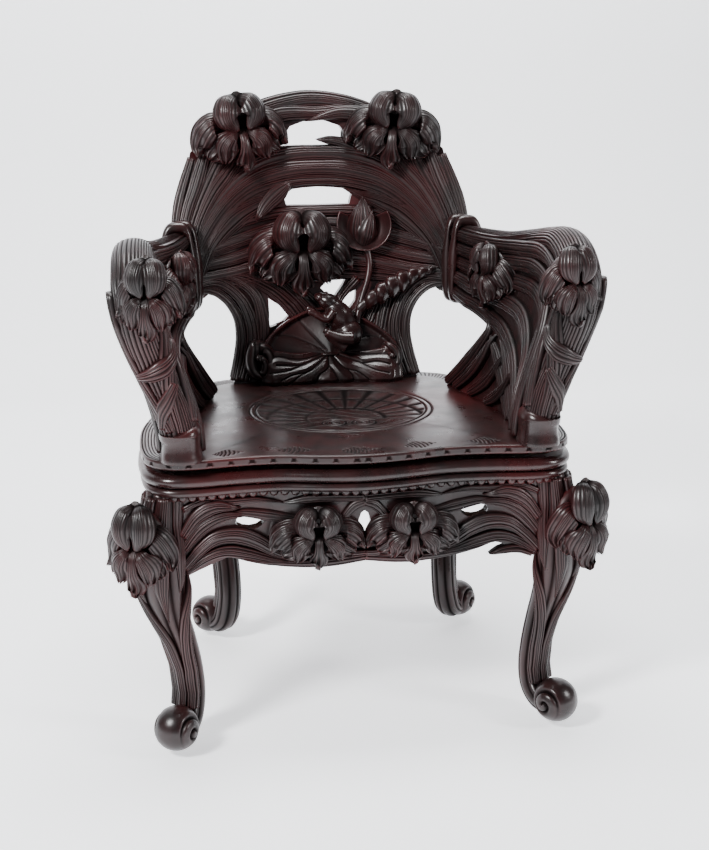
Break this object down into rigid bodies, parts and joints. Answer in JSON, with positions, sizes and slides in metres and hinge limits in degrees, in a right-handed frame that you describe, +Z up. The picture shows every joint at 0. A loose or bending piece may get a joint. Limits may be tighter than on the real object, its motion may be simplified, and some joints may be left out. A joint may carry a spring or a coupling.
{
  "type": "carved armchair",
  "caption": "Carved hardwood armchair with iris, lotus and frog ornament, solid seat, cabriole legs with scroll feet and a seat that turns on its base.",
  "frame": {"origin": "on the floor, below the middle of the chair's bounding box", "axes": "+Z up, -Y towards the front of the seat, +X to the right of a viewer who faces the chair"},
  "size_m": [0.7364, 0.7124, 0.956],
  "materials": {
    "dark_hardwood": "dark red-brown lacquer, semi-gloss, worn on the high edges",
    "plain_hardwood": "unlacquered inner frame wood",
    "dark_iron": "dark oiled iron"
  },
  "bodies": {
    "base": {"apron_back": "dark_hardwood", "apron_front": "dark_hardwood", "apron_iris_left": "dark_hardwood", "apron_iris_right": "dark_hardwood", "apron_side_left": "dark_hardwood", "apron_side_right": "dark_hardwood", "base_deck": "plain_hardwood", "corner_block_back_left": "plain_hardwood", "corner_block_back_right": "plain_hardwood", "corner_block_front_left": "plain_hardwood", "corner_block_front_right": "plain_hardwood", "knee_iris_left": "dark_hardwood", "knee_iris_right": "dark_hardwood", "leg_back_left": "dark_hardwood", "leg_back_right": "dark_hardwood", "leg_front_left": "dark_hardwood", "leg_front_right": "dark_hardwood", "moulding_back": "dark_hardwood", "moulding_front": "dark_hardwood", "moulding_left": "dark_hardwood", "moulding_right": "dark_hardwood", "swivel_lower_plate": "dark_iron"},
    "seat": {"arm_iris_left": "dark_hardwood", "arm_iris_right": "dark_hardwood", "arm_left": "dark_hardwood", "arm_right": "dark_hardwood", "arm_side_iris_left": "dark_hardwood", "arm_side_iris_right": "dark_hardwood", "back_arch": "dark_hardwood", "centre_board": "dark_hardwood", "centre_iris": "dark_hardwood", "crest_iris_left": "dark_hardwood", "crest_iris_right": "dark_hardwood", "crest_rail": "dark_hardwood", "frog": "dark_hardwood", "furled_leaf": "dark_hardwood", "iris_bud": "dark_hardwood", "lotus_leaf": "dark_hardwood", "leaf_fan": "dark_hardwood", "lower_stile_left": "dark_hardwood", "lower_stile_right": "dark_hardwood", "seat_board": "dark_hardwood", "swivel_nut": "dark_iron", "swivel_pin": "dark_iron", "swivel_upper_plate": "dark_iron", "swivel_washer": "dark_iron"}
  },
  "joints": [
    {"name": "seat_swivel", "type": "hinge", "parent": "base", "child": "seat", "pos_m": [0, -0.053, 0.42], "axis": [0, 0, 1], "continuous": true}
  ]
}
